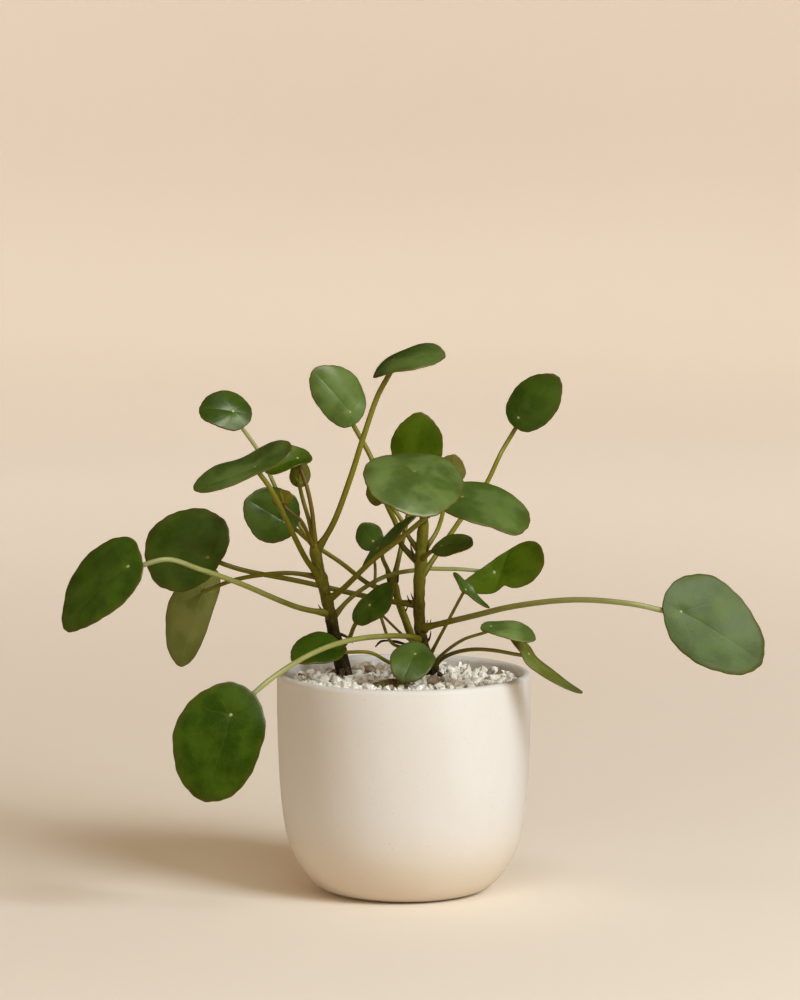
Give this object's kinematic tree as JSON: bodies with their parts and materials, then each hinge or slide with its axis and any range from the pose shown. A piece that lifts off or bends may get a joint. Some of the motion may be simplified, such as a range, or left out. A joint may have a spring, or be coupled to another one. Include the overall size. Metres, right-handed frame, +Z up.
{
  "type": "potted pilea plant",
  "caption": "Leggy pilea house plant with round, long-stalked leaves on three stems, in a thick stoneware pot topped with gravel.",
  "frame": {"origin": "centre of the pot's flat base, on the surface that the pot stands on", "axes": "+Z up through the middle of the pot; the plant's long leaf stalks spread along X, and the usual view is from -Y"},
  "size_m": [0.3407, 0.1794, 0.2733],
  "materials": {
    "stoneware": "matte",
    "soil": "matte",
    "gravel": "matte",
    "stem": "satin",
    "leaf": "satin"
  },
  "bodies": {
    "root": {"pot": "stoneware", "soil": "soil", "gravel": "gravel", "left_stem": "stem", "middle_stem": "stem", "right_stem": "stem", "leaf_summit": "leaf", "leaf_high_middle": "leaf", "leaf_high_left": "leaf", "leaf_front_centre": "leaf", "leaf_left_slanted": "leaf", "leaf_left_round": "leaf", "leaf_left_cupped_bud": "leaf", "leaf_young_rolled": "leaf", "leaf_young_cupped": "leaf", "leaf_left_large": "leaf", "leaf_left_hanging": "leaf", "leaf_far_left": "leaf", "leaf_low_front_left": "leaf", "leaf_rim_left": "leaf", "leaf_middle_edge_on": "leaf", "leaf_right_broad": "leaf", "leaf_centre_back": "leaf", "leaf_right_small": "leaf", "leaf_back_olive": "leaf", "leaf_small_low_centre": "leaf", "leaf_small_front": "leaf", "leaf_right_curled": "leaf", "leaf_small_upper_centre": "leaf", "leaf_centre_olive": "leaf", "leaf_high_right": "leaf", "leaf_narrow_right": "leaf", "leaf_low_right": "leaf", "leaf_drooping_right": "leaf", "leaf_far_right": "leaf", "leaf_bud_leaf": "leaf"}
  },
  "joints": []
}
